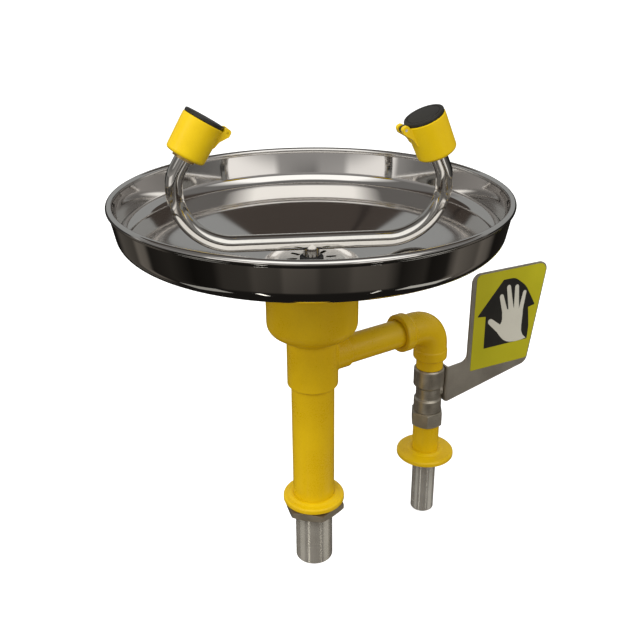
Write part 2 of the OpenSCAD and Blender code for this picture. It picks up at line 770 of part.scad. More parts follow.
module stem_washer() {
  color(steel) at_valve() translate([leg_x + flag_t + 0.02, 0, stem_z]) rotate([0, 90, 0])
    ring(washer_r, stem_end_r + fit, washer_t);
}

module stem_nut() {
  color(steel) at_valve() translate([leg_x + flag_t + washer_t + 0.04, 0, stem_z])
    rotate([0, 90, 0]) difference() {
      cylinder(r = nut_af / sqrt(3), h = nut_h, $fn = 6);
      translate([0, 0, -1]) cylinder(r = stem_end_r + fit, h = nut_h + 2);
    }
}

// Outline of the flag from the bend of its leg outwards
module flag_outline() {
  neck_x = leg_x + 2.4;
  polygon(rounded(
    [[neck_x, leg_foot_z], [flag_left + flag_foot_w, flag_foot_z], [flag_right, flag_top_z],
     [flag_left, flag_top_z], [flag_left, leg_top_z + 2], [neck_x, leg_top_z]],
    [0.01, flag_round, flag_round, flag_round, flag_neck_round, 0.01]));
}

module flag_plate() {
  bend_r = flag_t + 0.6;
  color(dark_steel) at_valve() {
    translate([0, flag_y + flag_t, 0]) rotate([90, 0, 0]) linear_extrude(height = flag_t)
      flag_outline();
    translate([leg_x + bend_r, flag_y + bend_r, leg_foot_z]) rotate([0, 0, 180])
      rotate_extrude(angle = 90) translate([bend_r - flag_t, 0])
        square([flag_t, leg_top_z - leg_foot_z]);
    difference() {
      translate([leg_x, flag_y + bend_r, leg_foot_z])
        cube([flag_t, leg_back_y - flag_y - bend_r, leg_top_z - leg_foot_z]);
      translate([leg_x - 1, 0, stem_z]) rotate([0, 90, 0]) intersection() {
        cylinder(r = stem_neck_r + fit, h = flag_t + 2);
        translate([-stem_flat / 2 - fit, -stem_r, 0])
          cube([stem_flat + 2 * fit, 2 * stem_r, flag_t + 2]);
      }
    }
  }
}

module flag_decal() {
  m = decal_margin;
  color([0.75, 0.72, 0.1]) at_valve() translate([0, flag_y - 0.01, 0]) rotate([90, 0, 0])
    linear_extrude(height = decal_t) polygon(rounded(
      [[flag_left + m, flag_foot_z + 5], [flag_left + flag_foot_w - m + 1, flag_foot_z + 5],
       [flag_right - m - 1, flag_top_z - 3], [flag_left + m, flag_top_z - 3]],
      [1.5, 1.5, 1.5, 1.5]));
}

module lower_nipple() {
  color(yellow) translate([supply_x, 0, 0])
    ring(branch_r, shank_up_r + fit, valve_z0 - 0.1 - pipe_lift, pipe_lift);
}

module supply_flange() { translate([supply_x, 0, 0]) deck_flange(branch_r); }

module supply_shank() {
  color(dark_steel) translate([supply_x, 0, 0]) {
    ring(supply_r, supply_bore_r, below_deck - 0.5, -below_deck);
    ring(shank_up_r, supply_bore_r, valve_z0 + thread_up + 0.5, -0.5);
  }
}

bowl();
bowl_gasket();
strainer();
drain_body();
drain_pipe();
drain_tailpiece();
drain_flange();
deck_lock_nut();
inlet_elbow();
riser();
riser_seal();
yoke_tube();
left_head_adapter();
right_head_adapter();
left_head_seal();
right_head_seal();
left_flow_control();
right_flow_control();
left_head_body();
right_head_body();
left_filter_disc();
right_filter_disc();
left_spray_plate();
right_spray_plate();
left_hinge_pin();
right_hinge_pin();
left_cover();
right_cover();
branch_pipe();
supply_elbow();
upper_nipple();
valve_body();
valve_end_cap();
valve_seats();
valve_ball();
valve_stem();
stem_packing();
packing_nut();
stem_washer();
stem_nut();
flag_plate();
flag_decal();
lower_nipple();
supply_flange();
supply_shank();
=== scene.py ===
"""Looks for the deck-mounted eye and face wash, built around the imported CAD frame.

Lengths are millimetres until a mesh is made, then metres. The row frame has its origin at the centre of the
drain flange on the deck, +Z up and +X along the supply branch.
"""

import math

import bmesh
import bpy
from mathutils import Matrix, Vector


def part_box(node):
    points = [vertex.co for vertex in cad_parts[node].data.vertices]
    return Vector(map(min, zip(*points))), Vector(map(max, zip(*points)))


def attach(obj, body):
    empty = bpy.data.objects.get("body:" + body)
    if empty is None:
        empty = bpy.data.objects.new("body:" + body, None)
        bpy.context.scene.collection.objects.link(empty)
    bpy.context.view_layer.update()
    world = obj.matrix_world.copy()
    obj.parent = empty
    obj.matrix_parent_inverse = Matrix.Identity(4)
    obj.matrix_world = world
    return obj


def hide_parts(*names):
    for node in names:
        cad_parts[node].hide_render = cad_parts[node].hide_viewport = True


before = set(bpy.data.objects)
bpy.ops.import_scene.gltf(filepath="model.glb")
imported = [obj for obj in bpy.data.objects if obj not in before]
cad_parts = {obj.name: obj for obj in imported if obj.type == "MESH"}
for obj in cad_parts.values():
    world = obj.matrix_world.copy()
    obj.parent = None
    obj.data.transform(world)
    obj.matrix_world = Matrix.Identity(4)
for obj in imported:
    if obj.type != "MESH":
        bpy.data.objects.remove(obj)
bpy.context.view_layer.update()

MM = 0.001


def span(node):
    """Lowest and highest corner of a CAD node, in millimetres."""
    low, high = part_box(node)
    return low / MM, high / MM


# ---------------------------------------------------------------- sizes, read from the frame where it gives them
FIT = 0.05
BOWL_LOW, BOWL_HIGH = span("bowl")
BOWL_R = BOWL_HIGH.x
RIM_Z = BOWL_HIGH.z
SEAT_Z = BOWL_LOW.z
BOWL_T = 1.2
BEAD_R = 2.4
BEAD_Z = RIM_Z - BEAD_R
WALL_TOP_R = BOWL_R - BEAD_R + BOWL_T / 2
WALL_FOOT_R = WALL_TOP_R - 3
CORNER_R = 12
CORNER_X = WALL_FOOT_R - CORNER_R
CORNER_Z = RIM_Z - 32 + CORNER_R
FLOOR_SLOPE = math.radians(13)
SEAT_R = 36
HOLE_R = 22.4
STRAINER_R = 28
STRAINER_T = 1.6
NECK_R, NECK_IN_R, NECK_DROP = 22, 20.4, 9
SLOT_COUNT, SLOT_FROM, SLOT_TO, SLOT_HALF = 8, 11, 19, 1.6

BODY_Z = span("drain_body")[0].z
CUP_TOP_Z = span("drain_body")[1].z
CUP_R = -span("drain_body")[0].x
BODY_R = 20.5
BODY_TOP_Z = 152
BODY_IN_R = 16
PIPE_IN_R = 16.2
PIPE_STOP = 13
CUP_BASE_Z = 164
CUP_LIP_R = 22.1
CUP_WALL = 3
CUP_TOP_T = 5
FLANGE_R, FLANGE_EDGE, FLANGE_H = 26, 4.6, 6.6
PIPE_R = span("drain_pipe")[1].x
PIPE_LOW = span("drain_pipe")[0].z
BRANCH_LOW, BRANCH_HIGH = span("branch_pipe")
BRANCH_R = (BRANCH_HIGH.z - BRANCH_LOW.z) / 2
BRANCH_Z = (BRANCH_HIGH.z + BRANCH_LOW.z) / 2
BOSS_R = 13.5
BOSS_X = 31
SUPPLY_BORE_R = 7.9

SHANK_LOW, SHANK_HIGH = span("supply_shank")
SUPPLY_X = (SHANK_LOW.x + SHANK_HIGH.x) / 2
SUPPLY_R = (SHANK_HIGH.x - SHANK_LOW.x) / 2
THREAD_R = SUPPLY_R - 0.45
SHANK_UP_R = SUPPLY_R - 0.4
ELBOW_Z = span("supply_elbow")[0].z
ELBOW_FACE_X = span("supply_elbow")[0].x
ELBOW_R = 14.3
ELBOW_BEND = 19
THREAD_L = 12
SOCKET_L = 13

TUBE_R = 6.35
TUBE_IN_R = 5.1
BAR_Z = 231
ARM_S = 98
LOWER_BEND_R = 41
ARM_Z = BAR_Z + LOWER_BEND_R
ARM_STRAIGHT = 4
UPPER_BEND_R = 21
YOKE_TURN = math.radians(-27.5)
HEAD_LEAN = {-1: math.radians(32), 1: math.radians(24.5)}
LEAN_TURN = math.radians(-13.5)
HEAD_GAP = 11
TUBE_IN_HEAD = 9

HEAD_R = 15.25
HEAD_BASE_R = 14.7
HEAD_H = 28.5
HEAD_PORT_R = 8.45
CHAMBER_R, CHAMBER_LOW, CHAMBER_MID = 11, 4, 13
FILTER_R = 12.6
FACE_R = 14
FACE_RECESS = 5
PLATE_T = 2.4
HOLE_SIZE = 1.1
RING_OUT_R, RING_OUT_COUNT, RING_IN_R, RING_IN_COUNT = 9.5, 8, 5, 4
COVER_R = 14.85
COVER_Z = 28.7
COVER_T = 2.6
GROOVE_DEEP = 0.45
INNER_RING = (11.4, 12.8, 1.4)
HINGE_X = 17.85
HINGE_Z = 29.3
LUG_R = 2.6
LUG_W = 3.8
KNUCKLE_R = 2.1
KNUCKLE_W = 4.2
PIN_R = 1.0

VALVE_TURN = math.radians(-7)
VALVE_Z0, VALVE_Z1 = 33, 90
VALVE_LOW_Z, VALVE_MID_Z, VALVE_COLLAR_Z = 47, 60, 72.5
STEM_Z = 66
LEG_X = 13.9
FLAG_Y = -8
FLAG_T = 1.8
FLAG_LEFT, FLAG_RIGHT, FLAG_TOP = 35, 117, 173.5
FLAG_FOOT_X, FLAG_FOOT_Z = 103, 75
LEG_FOOT_Z, LEG_TOP_Z = 54.5, 89
LEG_BACK_Y = 8


# ---------------------------------------------------------------- frames
def shift(x=0.0, y=0.0, z=0.0):
    return Matrix.Translation((x, y, z))


def turn(angle, axis="Z"):
    return Matrix.Rotation(angle, 4, axis)


def at_head(side):
    """Frame of a spray head: Z along the head from its base, X towards its low side and hinge."""
    upright = turn(YOKE_TURN) @ shift(side * ARM_S, 0, ARM_Z + ARM_STRAIGHT)
    upright = upright @ turn((math.pi if side > 0 else 0) + LEAN_TURN - YOKE_TURN)
    lean = HEAD_LEAN[side]
    rise = shift(UPPER_BEND_R * (1 - math.cos(lean)), 0, UPPER_BEND_R * math.sin(lean))
    return upright @ rise @ turn(lean, "Y") @ shift(0, 0, HEAD_GAP)


AT_SUPPLY = shift(SUPPLY_X)
AT_VALVE = AT_SUPPLY @ turn(VALVE_TURN)
ALONG_X = turn(math.pi / 2, "Y")


# ---------------------------------------------------------------- outlines
def outline(points, closed=True, step=12.0, support=0.25):
    """Corner points (x, y, fillet) as a dense outline: each fillet an arc, with a point beside it on the flat."""
    dense = []
    count = len(points)
    for i, point in enumerate(points):
        here = Vector(point[:2])
        radius = point[2] if len(point) > 2 else 0
        arc = [here]
        if radius and (closed or 0 < i < count - 1):
            to_last = Vector(points[i - 1][:2]) - here
            to_next = Vector(points[(i + 1) % count][:2]) - here
            inner = to_last.angle(to_next)
            if math.pi - inner > 0.02:
                cut = min(radius / math.tan(inner / 2), 0.48 * to_last.length, 0.48 * to_next.length)
                radius = cut * math.tan(inner / 2)
                inward = (to_last.normalized() + to_next.normalized()).normalized()
                centre = here + inward * (radius / math.sin(inner / 2))
                first = here + to_last.normalized() * cut - centre
                cross = to_last.x * to_next.y - to_last.y * to_next.x
                sweep = (math.pi - inner) * (-1 if cross > 0 else 1)
                steps = max(2, math.ceil(math.degrees(abs(sweep)) / step))
                arc = [centre + Matrix.Rotation(sweep * k / steps, 2) @ first for k in range(steps + 1)]
        dense.append(arc)
    out = []
    for i, arc in enumerate(dense):
        out += arc
        if i == len(dense) - 1 and not closed:
            break
        a, b = arc[-1], dense[(i + 1) % len(dense)][0]
        gap = b - a
        if gap.length > 5 * support:
            out += [a + gap.normalized() * support, b - gap.normalized() * support]
    return [tuple(p) for p in out]


def spin(points, segments=128, closed=True, along=None, most=None):
    """Vertices and faces of an outline (radius, height) turned about an axis, or about a bent path given by along."""
    if most:
        points = subdivide(points, most, closed)
    rings, verts, faces = [], [], []
    for radius, s in points:
        place = along(s) if along else shift(0, 0, s)
        if radius < 1e-6:
            rings.append([len(verts)])
            verts.append(place @ Vector((0, 0, 0)))
            continue
        rings.append(list(range(len(verts), len(verts) + segments)))
        for k in range(segments):
            a = 2 * math.pi * k / segments
            verts.append(place @ Vector((radius * math.cos(a), radius * math.sin(a), 0)))
    pairs = list(zip(rings, rings[1:] + rings[:1])) if closed else list(zip(rings, rings[1:]))
    for low, high in pairs:
        for k in range(segments):
            m = (k + 1) % segments
            quad = [low[k % len(low)], low[m % len(low)], high[m % len(high)], high[k % len(high)]]
            quad = list(dict.fromkeys(quad))
            if len(quad) > 2:
                faces.append(quad)
    return verts, faces


def subdivide(points, most, closed):
    """The outline with no step longer than most, so that it follows a bent path."""
    out = []
    ends = points[1:] + points[:1] if closed else points[1:]
    for a, b in zip(points, ends):
        pieces = max(1, math.ceil(math.dist(a, b) / most))
        out += [tuple(Vector(a).lerp(Vector(b), k / pieces)) for k in range(pieces)]
    return out if closed else out + [points[-1]]


def prism(points, low, high):
    """Vertices and faces of a flat outline given thickness along Z."""
    n = len(points)
    verts = [Vector((x, y, z)) for z in (low, high) for x, y in points]
    faces = [[k, (k + 1) % n, n + (k + 1) % n, n + k] for k in range(n)]
    return verts, faces + [list(range(n)), list(range(n, 2 * n))]


def hexagon(across):
    radius = across / math.sqrt(3)
    return [(radius * math.cos(math.radians(60 * k)), radius * math.sin(math.radians(60 * k))) for k in range(6)]


def travel(start, steps):
    """A function from length to frame along lines ("line", length) and arcs ("arc", radius, angle, centre's way)."""
    legs, place = [], start
    for step in steps:
        if step[0] == "line":
            legs.append((place, step[1], None, None))
            place = place @ shift(0, 0, step[1])
        else:
            radius, angle = step[1], step[2]
            way = place.to_3x3().inverted() @ Vector(step[3])
            twist = turn(math.atan2(way.y, way.x))
            legs.append((place, radius * angle, radius, twist))
            place = bent(place, twist, radius, angle)

    def at(s):
        for place, length, radius, twist in legs:
            if s <= length or place is legs[-1][0]:
                return place @ shift(0, 0, s) if radius is None else bent(place, twist, radius, s / radius)
            s -= length

    return at, sum(leg[1] for leg in legs)


def bent(place, twist, radius, angle):
    return place @ twist @ shift(radius) @ turn(angle, "Y") @ shift(-radius) @ twist.inverted()


# ---------------------------------------------------------------- meshes
def solid(shape, place=None):
    """A mesh object in metres from vertices and faces in millimetres."""
    verts, faces = shape
    place = place or Matrix()
    mesh = bpy.data.meshes.new("piece")
    mesh.from_pydata([tuple((place @ v) * MM) for v in verts], [], faces)
    work = bmesh.new()
    work.from_mesh(mesh)
    bmesh.ops.remove_doubles(work, verts=work.verts, dist=1e-7)
    bmesh.ops.recalc_face_normals(work, faces=work.faces)
    work.to_mesh(mesh)
    work.free()
    obj = bpy.data.objects.new("piece", mesh)
    bpy.context.scene.collection.objects.link(obj)
    return obj


def settle(obj):
    """Applies an object's modifiers."""
    mesh = bpy.data.meshes.new_from_object(obj.evaluated_get(bpy.context.evaluated_depsgraph_get()))
    obj.modifiers.clear()
    obj.data = mesh
    return obj


def clean(obj, near=0.004):
    """Merges points closer than near and drops the faces that have no area left."""
    work = bmesh.new()
    work.from_mesh(obj.data)
    bmesh.ops.remove_doubles(work, verts=work.verts, dist=near * MM)
    bmesh.ops.dissolve_degenerate(work, edges=work.edges, dist=near * MM)
    work.to_mesh(obj.data)
    work.free()
    return obj


def combine(first, other, operation):
    """Boolean of two solids; the second is used up."""
    change = first.modifiers.new("combine", "BOOLEAN")
    change.object, change.operation, change.solver = other, operation, "EXACT"
    settle(first)
    bpy.data.objects.remove(other)
    return clean(first)


def soften(obj, width, segments=2, angle=30.0):
    """Rounds the sharp edges of a solid."""
    change = obj.modifiers.new("soften", "BEVEL")
    change.width, change.segments = width * MM, segments
    change.limit_method, change.angle_limit = "ANGLE", math.radians(angle)
    change.use_clamp_overlap = True
    return clean(settle(obj))


def show(obj, name, body, material, nodes=(), sharp=34.0, weighted=False):
    """Names and shades a piece, gives it its material slot, ties it to its body and hides the CAD nodes it stands
    for.
    """
    obj.name = obj.data.name = name
    obj.data.materials.clear()
    obj.data.materials.append(material)
    obj.data.shade_smooth()
    obj.data.set_sharp_from_angle(angle=math.radians(sharp))
    if weighted:
        change = obj.modifiers.new("normals", "WEIGHTED_NORMAL")
        change.keep_sharp = True
    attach(obj, body)
    if nodes:
        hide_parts(*nodes)
    return obj


# ---------------------------------------------------------------- materials
class Nodes:
    """A short way to add and join shader nodes."""

    def __init__(self, tree):
        self.tree = tree
        tree.nodes.clear()

    def add(self, kind, inputs=(), out=0, **settings):
        node = self.tree.nodes.new(kind)
        for key, value in settings.items():
            setattr(node, key, value)
        for key, value in dict(inputs).items():
            if isinstance(value, bpy.types.NodeSocket):
                self.tree.links.new(value, node.inputs[key])
            else:
                node.inputs[key].default_value = value
        return node.outputs[out] if out is not None else node

    def math(self, operation, *values):
        """One arithmetic step."""
        return self.add("ShaderNodeMath", dict(enumerate(values)), operation=operation)

    def noise(self, where, scale, detail=2.0, rough=0.5):
        return self.add("ShaderNodeTexNoise", {"Vector": where, "Scale": scale, "Detail": detail, "Roughness": rough},
                        out="Fac")

    def span(self, value, low, high, to_low=0.0, to_high=1.0, kind="SMOOTHSTEP"):
        """A value carried from one range to another, and held at its ends."""
        return self.add("ShaderNodeMapRange", {0: value, 1: low, 2: high, 3: to_low, 4: to_high},
                        interpolation_type=kind)

    def mix(self, share, a, b):
        return self.add("ShaderNodeMix", {"Factor": share, 6: a, 7: b}, out=2, data_type="RGBA")


def rgb(*values):
    return (*values, 1.0)


def material(name, light, dark, metallic, rough, grain, depth, where="object", spread=30.0, coat=0.0, speck=0.0,
             centre=(0, 0), stretch=(1, 1, 1), spin_z=0.0, glow=0.0, sheen=0.5):
    """A procedural finish: colour between light and dark, roughness from rough[0] to rough[1] and a fine relief.

    where is "object" for even grain, "rings" for marks turned about a vertical axis at centre, or "streaks" for
    marks drawn out by stretch. grain is per metre and depth is the relief in metres.
    """
    made = bpy.data.materials.new(name)
    made.use_nodes = True
    n = Nodes(made.node_tree)
    place = n.add("ShaderNodeTexCoord", out="Object")
    if where == "rings":
        split = n.add("ShaderNodeSeparateXYZ", {0: place}, out=None).outputs
        x, y = n.math("SUBTRACT", split[0], centre[0]), n.math("SUBTRACT", split[1], centre[1])
        radius = n.math("SQRT", n.math("ADD", n.math("MULTIPLY", x, x), n.math("MULTIPLY", y, y)))
        fine_at = n.add("ShaderNodeCombineXYZ", {0: radius, 1: split[2], 2: 0.0})
    elif where == "streaks":
        fine_at = n.add("ShaderNodeMapping", {"Vector": place, "Rotation": (0, 0, spin_z), "Scale": stretch})
    else:
        fine_at = place
    broad = n.noise(place, spread, 3.0)
    fine = n.noise(fine_at, grain, 3.0, 0.6)
    share = n.math("ADD", n.math("MULTIPLY", broad, 0.65), n.math("MULTIPLY", fine, 0.35))
    colour = n.mix(n.span(share, 0.32, 0.68), rgb(*dark), rgb(*light))
    if speck:
        dots = n.span(n.noise(place, grain * 0.35, 1.0), 0.66, 0.74, 0.0, speck)
        colour = n.mix(dots, colour, rgb(*(c * 0.45 for c in dark)))
    roughness = n.span(n.math("ADD", n.math("MULTIPLY", broad, 0.5), n.math("MULTIPLY", fine, 0.5)),
                       0.3, 0.7, rough[0], rough[1], "LINEAR")
    bump = n.add("ShaderNodeBump", {"Height": fine, "Distance": depth, "Strength": 1.0})
    shader = n.add("ShaderNodeBsdfPrincipled", {
        "Base Color": colour, "Metallic": metallic, "Roughness": roughness, "Normal": bump,
        "Coat Weight": coat, "Coat Roughness": 0.12, "IOR": 1.5, "Emission Color": rgb(1, 1, 1),
        "Emission Strength": glow, "Specular IOR Level": sheen})
    n.add("ShaderNodeOutputMaterial", {"Surface": shader}, out=None)
    return made


YELLOW = material("yellow_powder_coat", (0.74, 0.49, 0.003), (0.66, 0.42, 0.002), 0.0, (0.24, 0.36), 900, 2.0e-5,
                  coat=0.05, speck=0.05, sheen=0.4)
PLASTIC = material("yellow_moulded_plastic", (0.78, 0.54, 0.004), (0.71, 0.47, 0.003), 0.0, (0.28, 0.40), 1500,
                   6e-6, sheen=0.35)
BLACK = material("black_moulded_plastic", (0.024, 0.022, 0.018), (0.015, 0.014, 0.012), 0.0, (0.36, 0.50), 2600,
                 1.2e-5)
BOWL = material("polished_bowl_steel", (0.84, 0.82, 0.80), (0.79, 0.77, 0.75), 1.0, (0.035, 0.065), 2300, 6e-7,
                where="rings", spread=9)
CHROME = material("chromed_tube", (0.74, 0.72, 0.69), (0.66, 0.64, 0.61), 1.0, (0.05, 0.10), 500, 1.2e-6, spread=18)
VALVE = material("valve_cast_steel", (0.56, 0.52, 0.44), (0.42, 0.385, 0.32), 0.85, (0.30, 0.44), 1500, 2.0e-5,
                 where="rings", centre=(SUPPLY_X * MM, 0), spread=120, speck=0.25)
PLATE = material("brushed_flag_steel", (0.60, 0.56, 0.48), (0.48, 0.44, 0.38), 0.8, (0.30, 0.42), 260, 1.0e-5,
                 where="streaks", stretch=(0.12, 8, 8), spin_z=-VALVE_TURN, spread=40)
TURNED = material("turned_steel", (0.80, 0.77, 0.70), (0.68, 0.65, 0.58), 0.75, (0.18, 0.28), 1800, 4e-6,
                  where="rings", spread=60)
SHANK = material("turned_shank_steel", (0.80, 0.78, 0.73), (0.68, 0.66, 0.61), 0.75, (0.18, 0.28), 1800, 4e-6,
                 where="rings", centre=(SUPPLY_X * MM, 0), spread=60)
NUT = material("dark_nut_steel", (0.52, 0.45, 0.34), (0.38, 0.33, 0.25), 0.85, (0.32, 0.46), 1500, 1.4e-5,
               spread=90, speck=0.2)
STEEL = material("plain_steel", (0.72, 0.70, 0.67), (0.60, 0.58, 0.55), 1.0, (0.14, 0.26), 1200, 3e-6, spread=80)
RUBBER = material("black_rubber", (0.020, 0.020, 0.020), (0.012, 0.012, 0.012), 0.0, (0.58, 0.74), 2000, 1.6e-5)
WHITE = material("white_plastic", (0.78, 0.78, 0.74), (0.70, 0.70, 0.66), 0.0, (0.30, 0.44), 1600, 6e-6)
BRASS = material("brass_fitting", (0.72, 0.50, 0.20), (0.60, 0.41, 0.16), 1.0, (0.24, 0.38), 1300, 8e-6, spread=90)
STICKER = material("sticker_yellow_green", (0.50, 0.47, 0.010), (0.45, 0.42, 0.008), 0.0, (0.34, 0.46), 1800, 4e-6)
INK = material("sticker_black", (0.017, 0.016, 0.013), (0.012, 0.011, 0.010), 0.0, (0.36, 0.48), 1800, 4e-6)
PALE = material("sticker_white", (0.66, 0.66, 0.58), (0.60, 0.60, 0.53), 0.0, (0.38, 0.50), 1800, 4e-6)
FLOOR = material("studio_floor", (0.90, 0.90, 0.89), (0.88, 0.88, 0.87), 0.0, (0.75, 0.85), 60, 1e-4, spread=2,
                 glow=0.62)


# ---------------------------------------------------------------- bowl and strainer
def bowl():
    """Spun bowl with a conical floor, a rounded corner, a leaning wall and a rolled bead."""
    def arc(x, z, radius, first, last, steps):
        return [(x + radius * math.cos(first + (last - first) * k / steps),
                 z + radius * math.sin(first + (last - first) * k / steps)) for k in range(steps + 1)]

    def touch(x, radius):
        """Angle at which the line down from the top of the wall touches the corner."""
        across, rise = x - CORNER_X, BEAD_Z - CORNER_Z
        return math.atan2(rise, across) - math.acos(radius / math.hypot(across, rise))

    def toward(first, other):
        return tuple(Vector(first) + (Vector(other) - Vector(first)).normalized() * 0.5)

    lean = FLOOR_SLOPE - math.pi / 2
    rise = 0.16
    bead_x = BOWL_R - BEAD_R
    outer_meet = math.asin((BOWL_T / 2) / BEAD_R)
    rim = arc(bead_x, BEAD_Z, BEAD_R, outer_meet - math.pi / 2, 1.5 * math.pi - outer_meet, 28)
    under = arc(CORNER_X, CORNER_Z, CORNER_R, lean, touch(WALL_TOP_R, CORNER_R), 14)
    inside = arc(CORNER_X, CORNER_Z, CORNER_R - BOWL_T, touch(WALL_TOP_R - BOWL_T, CORNER_R - BOWL_T), lean, 14)
    under.append(toward(under[-1], rim[0]))
    inside.insert(0, toward(inside[0], rim[-1]))
    rim = [toward(rim[0], under[-1])] + rim + [toward(rim[-1], inside[0])]
    profile = ([(HOLE_R, SEAT_Z), (HOLE_R + 0.3, SEAT_Z), (SEAT_R - 0.8, SEAT_Z), (SEAT_R + 0.8, SEAT_Z + rise)]
               + under + rim + inside
               + [(SEAT_R + 0.8, SEAT_Z + BOWL_T + rise), (SEAT_R - 0.8, SEAT_Z + BOWL_T),
                  (HOLE_R + 0.3, SEAT_Z + BOWL_T), (HOLE_R, SEAT_Z + BOWL_T)])
    return solid(spin(subdivide(profile, 6.0, True), 256))


show(bowl(), "bowl_shell", "stand", BOWL, ["bowl"], sharp=60)


def strainer():
    """Slotted strainer plate with a bevelled rim and the neck that clamps the bowl."""
    base = SEAT_Z + BOWL_T
    top = base + STRAINER_T
    neck_z = SEAT_Z - NECK_DROP
    plate = solid(spin(outline([
        (TUBE_R + FIT, base), (TUBE_R + FIT, top, 0.3), (STRAINER_R - 3, top, 2), (STRAINER_R, base + 0.6, 0.5),
        (STRAINER_R, base, 0.1), (NECK_R, base), (NECK_R, neck_z, 0.3), (NECK_IN_R, neck_z, 0.3), (NECK_IN_R, base)]),
        128))
    slot = outline([(SLOT_FROM, -SLOT_HALF, 1.5), (SLOT_TO, -SLOT_HALF, 1.5), (SLOT_TO, SLOT_HALF, 1.5),
                    (SLOT_FROM, SLOT_HALF, 1.5)])
    for k in range(SLOT_COUNT):
        around = turn(2 * math.pi * (k + 0.5) / SLOT_COUNT)
        combine(plate, solid(prism(slot, base - 2, top + 2), around), "DIFFERENCE")
    return soften(plate, 0.18, angle=40)


show(strainer(), "strainer_plate", "stand", STEEL, ["strainer"], weighted=True)


# ---------------------------------------------------------------- drain side
def saddle(radius, host, reach, bore, fillet):
    """A socket of that radius standing off a round host along +X, flared into it, about the origin."""
    sunk, edge = 3.0, 1.2
    rings = [(radius + fillet, -sunk, True)]
    for k in range(9):
        a = math.pi / 2 * k / 8
        rings.append((radius + fillet * (1 - math.sin(a)), fillet * (1 - math.cos(a)), True))
    rings.append((radius, reach - edge, False))
    for k in range(1, 6):
        a = math.pi / 2 * k / 5
        rings.append((radius - edge * (1 - math.cos(a)), reach - edge + edge * math.sin(a), False))
    rings += [(bore + 0.4, reach, False), (bore, reach - 0.4, False), (bore, 4.0, False)]
    segments, verts = 128, []
    for ring_r, rise, hugs in rings:
        for k in range(segments):
            a = 2 * math.pi * k / segments
            y, z = ring_r * math.cos(a), ring_r * math.sin(a)
            x = rise + math.sqrt(max(0.0, host * host - y * y)) if hugs else rise
            verts.append(Vector((x, y, z)))
    faces = []
    for i in range(len(rings)):
        j = (i + 1) % len(rings)
        faces += [[i * segments + k, i * segments + (k + 1) % segments, j * segments + (k + 1) % segments,
                   j * segments + k] for k in range(segments)]
    return verts, faces


def joined(first, *others):
    """Several closed shells as one object."""
    work = bmesh.new()
    for obj in (first, *others):
        work.from_mesh(obj.data)
    work.to_mesh(first.data)
    work.free()
    for obj in others:
        bpy.data.objects.remove(obj)
    return first


casting = solid(spin(outline([
    (PIPE_R + FIT, BODY_Z, 0.5), (BODY_R, BODY_Z, 2.4), (BODY_R, BODY_TOP_Z - 0.5, 2.6),
    (CUP_R - 9.5, BODY_TOP_Z + 2.6, 3), (CUP_R, CUP_BASE_Z - 3.2, 10), (CUP_R, CUP_TOP_Z, 1.6),
    (CUP_LIP_R, CUP_TOP_Z, 0.4), (CUP_LIP_R, CUP_TOP_Z - CUP_TOP_T), (CUP_R - CUP_WALL, CUP_TOP_Z - CUP_TOP_T),
    (CUP_R - CUP_WALL, CUP_BASE_Z, 6), (BODY_IN_R, BODY_TOP_Z, 2), (BODY_IN_R, BODY_Z + PIPE_STOP),
    (PIPE_R + FIT, BODY_Z + PIPE_STOP)]), 160))
socket = solid(saddle(BOSS_R, BODY_R, BOSS_X, BRANCH_R + FIT, 1.8), shift(0, 0, BRANCH_Z))
show(joined(casting, socket), "drain_casting", "stand", YELLOW, ["drain_body"], sharp=50)

POST_TOP = BODY_Z + PIPE_STOP - 0.1
show(solid(spin(outline([(PIPE_R, PIPE_LOW, 0.2), (PIPE_R, POST_TOP, 0.4), (PIPE_IN_R, POST_TOP, 0.4),
                         (PIPE_IN_R, PIPE_LOW, 0.2)]), 128)),
     "drain_post", "stand", YELLOW, ["drain_pipe"])


def deck_flange(pipe_r, centre):
    """Domed deck flange with a coved collar round the pipe."""
    return solid(spin(outline([
        (pipe_r + FIT, 0), (FLANGE_R, 0, 0.7), (FLANGE_R, FLANGE_EDGE, 2.2), (pipe_r + 4.6, FLANGE_EDGE + 0.5, 2),
        (pipe_r + 2.4, FLANGE_H, 1.0), (pipe_r + FIT, FLANGE_H, 0.3)], step=8), 160), centre)


show(deck_flange(PIPE_R, Matrix()), "drain_deck_flange", "stand", YELLOW, ["drain_flange"])
show(deck_flange(BRANCH_R, AT_SUPPLY), "supply_deck_flange", "stand", YELLOW, ["supply_flange"])

TAIL_R = span("drain_tailpiece")[1].x
TAIL_LOW = span("drain_tailpiece")[0].z
TAIL_TOP = span("drain_tailpiece")[1].z
TAIL_IN_R = TAIL_R - 1.85
RELIEF, RELIEF_Z = 0.25, -10.4
show(solid(spin(outline([
    (TAIL_R - RELIEF, TAIL_LOW, 0.5), (TAIL_R - RELIEF, RELIEF_Z), (TAIL_R, RELIEF_Z + 0.3), (TAIL_R, TAIL_TOP, 0.2),
    (TAIL_IN_R, TAIL_TOP, 0.2), (TAIL_IN_R, TAIL_LOW, 0.5)]), 128)),
    "drain_tail", "stand", TURNED, ["drain_tailpiece"])


def plug(radius, low, high, place, segments=96):
    """A plain cylinder that cuts a bore."""
    return solid(spin([(0, low), (radius, low), (radius, high), (0, high)], segments, closed=False), place)


def hex_piece(across, low, high, bore, chamfer, place, start=0.0):
    """A chamfered hexagon with a bore."""
    wide, flat = across / math.sqrt(3) + 0.3, across / 2 - 0.3
    body = solid(prism(hexagon(across), low, high), place @ turn(start))
    cone = solid(spin([(0, low), (flat, low), (wide, low + chamfer), (wide, high - chamfer), (flat, high), (0, high)],
                      96, closed=False), place)
    combine(body, cone, "INTERSECT")
    combine(body, plug(bore, low - 2, high + 2, place), "DIFFERENCE")
    return soften(body, 0.22, 2, 24)


